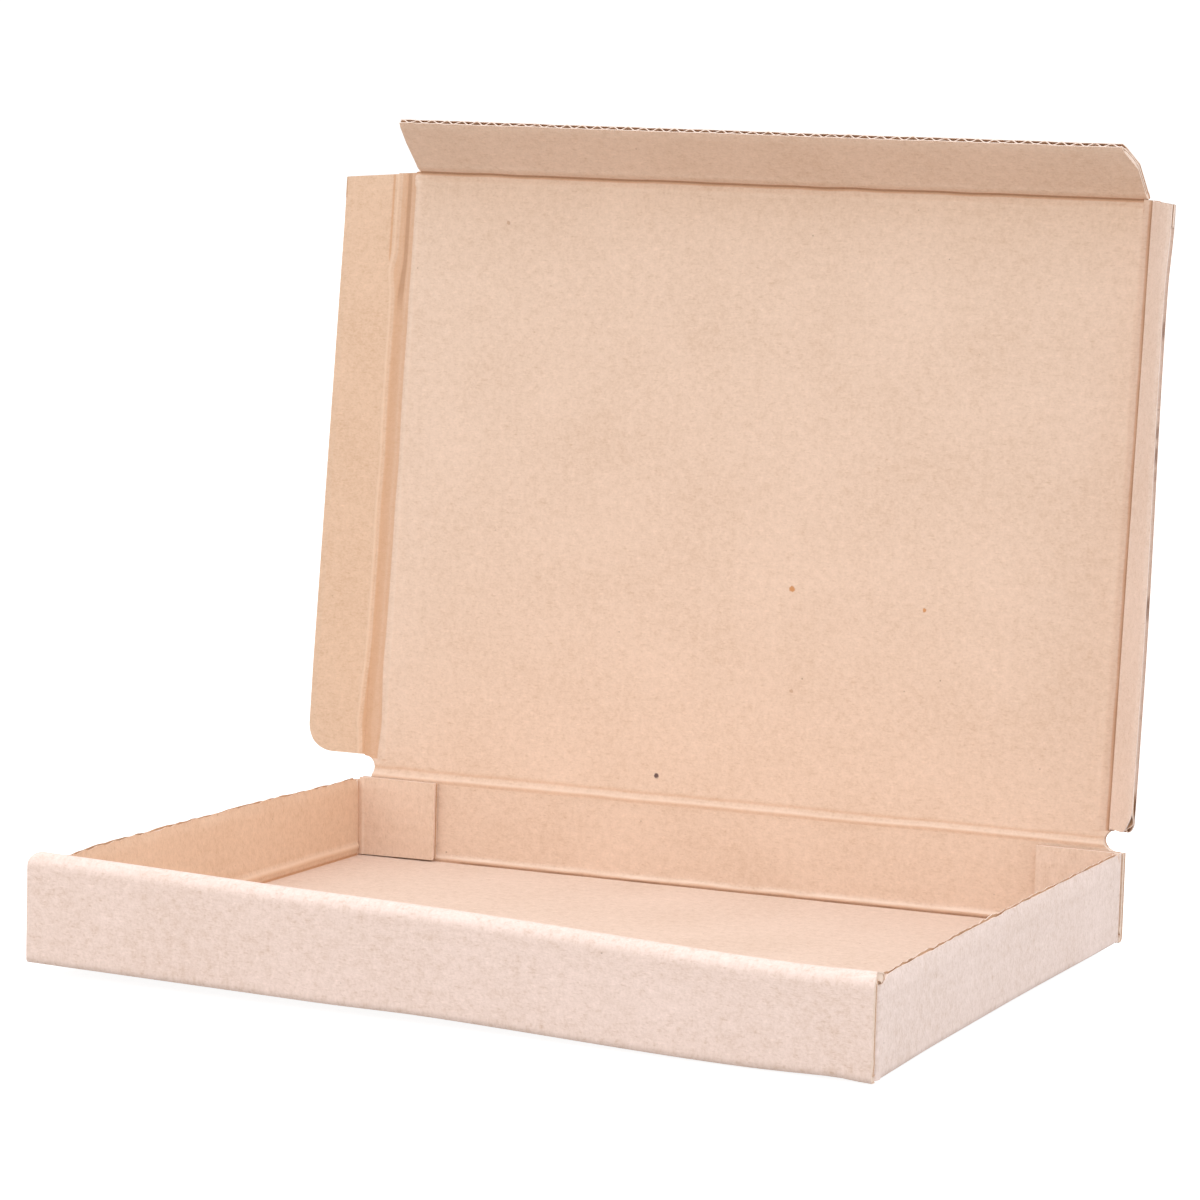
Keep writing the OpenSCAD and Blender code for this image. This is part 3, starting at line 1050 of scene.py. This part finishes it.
def steps(low, high, coarse, fine, reach=3.5):
    """Values from low to high, close together within reach of both ends."""
    return np.unique(np.concatenate([
        np.arange(low, low + reach, fine), np.arange(low + reach, high - reach, coarse),
        np.arange(high - reach, high, fine), [high]]))


on_lid = panel_at(lid_crease, RIGHT, LID_UP)
lid = Sheet("lid_board")
lid_edge = FLAP_X - STRIP
grid = lattice(steps(-lid_edge, lid_edge, 1.5, 0.2), steps(STRIP, LID_LEN - STRIP, 1.5, 0.25))
core = lattice(np.linspace(-lid_edge, lid_edge, 12), np.linspace(STRIP, LID_LEN - STRIP, 12))
lid.board(on_lid, lid_flat, grid, lid_rise, core, LID_WARMTH)
lid.make("lid")

# %% [markdown]
# A side flap tapers towards the front and has a rounded corner next to the lid's
# crease, where it has to slip past the tray's corner tab.

# %% The lid's side flaps
SIDE_LIFT = {1: 0.4, -1: 0.0}
SIDE_COLUMNS = 110


def side_surface(hand, relief):
    """A side flap's flat place and its relief, at a place along and out from its crease."""
    def flat(along, out):
        return hand * (FLAP_X + out), -hand * along + LID_FLAT

    def rise(along, out):
        return relief(out, -hand * along)

    return flat, rise


def side_flap_span(w, hand):
    """Where a side flap begins and ends along the lid, at a distance from its crease."""
    over = np.clip(w - (SIDE_FLAP_W - SIDE_FLAP_R), 0, SIDE_FLAP_R)
    low = SIDE_LOW + SIDE_FLAP_R - np.sqrt(np.maximum(SIDE_FLAP_R ** 2 - over ** 2, 0))
    return low, SIDE_HIGH - SIDE_FLAP_TAPER * w / SIDE_FLAP_W + SIDE_LIFT[hand]


def side_flap(name, hand, fold, relief, bow, warmth):
    """One side flap. The bow says how far its free edge leans out, at a place on the crease."""
    away = hand * math.cos(fold) * RIGHT + math.sin(fold) * LID_IN
    on_flap = panel_at(lid_crease + hand * FLAP_X * RIGHT, -hand * LID_UP, away)

    def at(along, w, n):
        squeezed = n * (1 - 0.5 * ramp(w, SIDE_FLAP_W - 1.6, SIDE_FLAP_W))
        lean = bow(-hand * along) * ramp(w, 0, SIDE_FLAP_W)
        return on_flap(along, w, squeezed) + (hand * lean)[..., None] * RIGHT

    flat, rise = side_surface(hand, relief)
    round_corner = SIDE_FLAP_R * np.sin(np.linspace(0.12, math.pi / 2, 14))
    w = np.concatenate([np.arange(STRIP, 4.2, 0.2), np.linspace(4.4, SIDE_FLAP_W - SIDE_FLAP_R, 5),
                        SIDE_FLAP_W - SIDE_FLAP_R + round_corner])
    low, high = side_flap_span(w, hand)
    sheet = Sheet(name + "_board")
    out = rows_of(w, SIDE_COLUMNS)
    grid = -hand * spread(low, high, SIDE_COLUMNS), out
    along = -hand * spread(low + CORE_IN, high - CORE_IN, SIDE_COLUMNS)
    gap = gap_depth(along, 60 + hand) / SIDE_FLAP_W * ramp(out, 6, 12)
    sheet.board(at, flat, grid, rise, (along, out * (1 - gap)), warmth)
    w = np.sort(np.append(np.linspace(STRIP, SIDE_FLAP_W - 0.05, 46), w[-8:-1]))
    low, high = side_flap_span(w, hand)
    for first, last in ((low + 0.05, low + CORE_IN + 1), (high - CORE_IN - 1, high - 0.05)):
        sheet.medium(at, flat, -hand * spread(first, last, 5), rows_of(w, 5))
    sheet.make(name)


def left_bow(s):
    """The left flap leans out near the lid's crease and in near its other end."""
    return np.interp(s, (20, 110), (0.6, -0.4))


def right_bow(s):
    """The right flap bulges at both ends."""
    return 0.45 - 0.85 * ramp(s, 30, 100) + 0.4 * ramp(s, 104, 116)


# Name, hand, fold, the crease's relief, bow and warmth. The right flap's cool tint is painted cool
# light; the left flap is made more orange.
SIDE_FLAPS = (("left_flap", -1, left_fold, left_crease, left_bow, 1.0),
              ("right_flap", 1, right_fold, right_crease, right_bow, -1.0))
for flap in SIDE_FLAPS:
    side_flap(*flap)

# %% [markdown]
# The front flap tucks behind the front wall when the box is shut. Its free edge is cut
# across the flutes, so the camera looks at a row of open flute ends.

# %% The front flap
FRONT_FLAP_SHIFT = 1.6
FRONT_COLUMNS, FLUTE_COLUMNS = 220, 560
front_away = math.cos(front_fold) * LID_UP + math.sin(front_fold) * LID_IN
on_front_flap = panel_at(lid_crease + LID_LEN * LID_UP, RIGHT, front_away)


def front_flap_ends(away):
    """The front flap's left and right ends at a distance from its crease."""
    over = np.clip((away - FRONT_FLAP_STRAIGHT) / (FRONT_FLAP_L - FRONT_FLAP_STRAIGHT), 0, 1)
    end = FLAP_X - FRONT_FLAP_INSET - FRONT_FLAP_TAPER * over
    return FRONT_FLAP_SHIFT * (1 - over) - end, end + 0.1 * (1 - over)


def front_flat(x, away):
    return x, away + LID_FLAT + LID_LEN


def front_at(x, away, n):
    """The front flap's place, with its free edge squeezed by the die and a little uneven."""
    at_edge = ramp(away, FRONT_FLAP_L - 1.2, FRONT_FLAP_L)
    uneven = ragged(x, 2.1, 0.07, 51) + np.where(n > 0, ragged(x, 1.3, 0.05, 52), 0)
    return on_front_flap(x, away + at_edge * uneven, n * (1 - 0.36 * at_edge))


front = Sheet("front_flap_board")
away = np.concatenate([np.arange(STRIP, 4.2, 0.25), np.linspace(4.4, FRONT_FLAP_STRAIGHT, 4),
                       np.linspace(FRONT_FLAP_STRAIGHT, FRONT_FLAP_L, 6)[1:]])
left_end, right_end = front_flap_ends(away)
inner = away < FRONT_FLAP_L - 0.5
grid = spread(left_end, right_end, FRONT_COLUMNS), rows_of(away, FRONT_COLUMNS)
core = (spread(left_end[inner] + CUT_IN, right_end[inner] - CUT_IN, FRONT_COLUMNS),
        rows_of(away[inner], FRONT_COLUMNS))
flutes = spread(left_end + 0.04, right_end - 0.04, FLUTE_COLUMNS), rows_of(away, FLUTE_COLUMNS)
front.board(front_at, front_flat, grid, front_line, core, LID_WARMTH)
front.medium(front_at, front_flat, *flutes)
front.make("front_flap")

# %% [markdown]
# The creases themselves cross a joint, so each is a strip of its own, bent to the
# fold's angle. One edge follows one panel and the other edge the other, and between
# them the strip turns smoothly.

# %% Crease strips
STRIP_ROWS = 29
STRIP_COLUMNS = 150
STRIP_CUT_IN = 0.15
BLEND_REACH = 0.8 * STRIP


def crease_strip(name, axes, fold, spans, surface, warps, columns, warmth=LID_WARMTH):
    """A strip of board across a crease, from -STRIP to STRIP, bent by the fold's angle.

    The axes are the crease's origin, its direction and the way off it. The surface is the
    flat place and the relief. The strip's warmth goes from the lid's to the given one."""
    origin, across, away = axes
    inward = np.cross(across, away)
    distance = np.linspace(-STRIP, STRIP, STRIP_ROWS)
    low, high = spans(distance)

    def at(along, d, n):
        share = ramp(d, -STRIP, STRIP)
        angle = fold * share
        b = d * np.cos(angle) - n * np.sin(angle)
        c = d * np.sin(angle) + n * np.cos(angle)
        points = origin + along[..., None] * across + b[..., None] * away + c[..., None] * inward
        share = share[..., None]
        return warps[0](points) * (1 - share) + warps[1](points) * share

    sheet = Sheet(name)
    flat, rise = surface
    off = rows_of(distance, columns)
    core = spread(low + STRIP_CUT_IN, high - STRIP_CUT_IN, columns), off
    tints = np.interp(off, (-STRIP, STRIP), (LID_WARMTH, warmth))
    sheet.board(at, flat, (spread(low, high, columns), off), rise, core, tints)
    turned = math.cos(fold) * away + math.sin(fold) * inward
    for piece in sheet.make():
        tuple((origin + BLEND_REACH * turned) * MM)
        tuple((origin - BLEND_REACH * away) * MM)
        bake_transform(piece)


def notch_span(distance):
    """How wide the lid's crease is between the two notches."""
    end = NOTCH_X - np.sqrt(np.clip(NOTCH_R ** 2 - (distance + NOTCH_DROP) ** 2, 0, None))
    return -end, end


def side_span(hand):
    """Where a side flap's crease begins and ends."""
    def span(distance):
        x = FLAP_X + distance
        over = np.clip(NOTCH_X - x, 0, NOTCH_R)
        low = np.maximum(STRIP, np.sqrt(NOTCH_R ** 2 - over ** 2) - NOTCH_DROP)
        low = low + ramp(x, NOTCH_X, NOTCH_X + 0.5) * (SIDE_LOW - NOTCH_R + NOTCH_DROP)
        high = np.interp(distance, (-STRIP, STRIP), (LID_LEN - 0.4, SIDE_HIGH))
        high = high + SIDE_LIFT[hand]
        return (-high, -low) if hand > 0 else (low, high)

    return span


def front_span(distance):
    """How wide the front flap's crease is."""
    left_end, right_end = front_flap_ends(0 * distance)
    inner = FLAP_X - STRIP
    return np.where(distance < 0, -inner, left_end), np.where(distance < 0, inner, right_end)


crease_strip("lid_crease_strip", (lid_crease, RIGHT, UP),
             -math.atan2(LID_UP[1], LID_UP[2]), notch_span, (lid_flat, lid_line),
             (settle, tilt), STRIP_COLUMNS)
for name, hand, fold, relief, _, warmth in SIDE_FLAPS:
    axes = lid_crease + hand * FLAP_X * RIGHT, -hand * LID_UP, hand * RIGHT
    crease_strip(name + "_crease_strip", axes, fold, side_span(hand),
                 side_surface(hand, relief), (tilt, tilt), SIDE_COLUMNS, warmth)
crease_strip("front_flap_crease_strip",
             (lid_crease + LID_LEN * LID_UP, RIGHT, LID_UP), front_fold, front_span,
             (front_flat, front_line), (tilt, tilt), STRIP_COLUMNS)

# %% [markdown]
# The studio is a white floor under a white sky. The sky and floor that the camera sees
# are bright enough to be pure white. The ones that light the box are dimmer, so that
# the box keeps its tone. A Light Path node tells the two kinds of ray apart. The cool
# lamp overhead and the warm ones in front give the folds a little shape.

# %% The studio
WHITE = (1.0, 1.0, 1.0)
FLOOR_Z = -2.0
FLOOR_REACH = 3.0
FLOOR_ROUGHNESS = 0.9
FLOOR_PAINT = 0.35
FLOOR_GLOW = 0.13
FLOOR_SEEN = 0.75
SKY_LIGHT = 1.09
SKY_SEEN = 1.1


def seen_directly(shader):
    """1 for what the camera sees, also by reflection or through glass, and otherwise 0."""
    camera_ray = shader.node("ShaderNodeLightPath")
    return camera_ray.math("MAXIMUM", camera_ray.other("Is Glossy Ray")).math(
        "MAXIMUM", camera_ray.other("Is Transmission Ray"))


paint = bpy.data.materials.new("studio_white")
paint.use_nodes = True
studio = Tree(paint.node_tree)
principled = studio.nodes["Principled BSDF"]
for key, value in (("Base Color", (FLOOR_PAINT,) * 3), ("Roughness", FLOOR_ROUGHNESS),
                   ("Emission Color", WHITE), ("Emission Strength", FLOOR_GLOW)):
    studio.feed(principled.inputs[key], value)
lit = Wire(studio, principled.outputs[0])
shown = studio.node("ShaderNodeEmission", {}, {"Color": WHITE, "Strength": FLOOR_SEEN})
both = studio.node("ShaderNodeAddShader", {}, {0: lit, 1: shown})
mixed = studio.node("ShaderNodeMixShader", {}, {0: seen_directly(studio), 1: lit, 2: both})
studio.feed(studio.nodes["Material Output"].inputs["Surface"], mixed)
floor_mesh = bpy.data.meshes.new("studio_floor")
corners = [(x * FLOOR_REACH, y * FLOOR_REACH, FLOOR_Z * MM)
           for x, y in ((-1, -1), (1, -1), (1, 1), (-1, 1))]
floor_mesh.from_pydata(corners, [], [(0, 1, 2, 3)])
floor_mesh.materials.append(paint)
add_object("studio_floor", floor_mesh)

world = bpy.data.worlds.new("studio_world")
bpy.context.scene.world = world
world.use_nodes = True
sky = Tree(world.node_tree)
lighting = sky.node("ShaderNodeBackground", {}, {"Color": WHITE, "Strength": SKY_LIGHT})
seen = sky.node("ShaderNodeBackground", {}, {"Color": WHITE, "Strength": SKY_SEEN})
mixed = sky.node("ShaderNodeMixShader", {}, {0: seen_directly(sky), 1: lighting, 2: seen})
sky.feed(sky.nodes["World Output"].inputs["Surface"], mixed)


def soft_lamp(name, at, target, size, watts, colour):
    """A square lamp that points at a target."""
    data = bpy.data.lights.new(name, "AREA")
    data.shape = "SQUARE"
    data.size = size
    data.energy = watts
    data.color = colour
    lamp = add_object(name, data)
    lamp.location = at
    lamp.rotation_euler = (Vector(target) - Vector(at)).to_track_quat("-Z", "Y").to_euler()


soft_lamp("top_lamp", (0.1, -0.3, 1.3), (0, 0, 0), 1.0, 6.2, (0.51, 0.69, 1.0))
soft_lamp("key_lamp", (-0.6, -0.9, 0.6), (0, 0, 0.05), 0.8, 1.6, (1.0, 0.93, 0.93))
soft_lamp("right_lamp", (1.1, -0.2, 0.4), (0.08, 0, 0.02), 0.6, 1.1, (0.9, 0.97, 1.0))
soft_lamp("low_lamp", (0.2, -1.2, 0.2), (0, 0, 0.08), 0.8, 0.5, (1.0, 0.88, 0.8))
bpy.context.scene.view_settings.view_transform = "Standard"
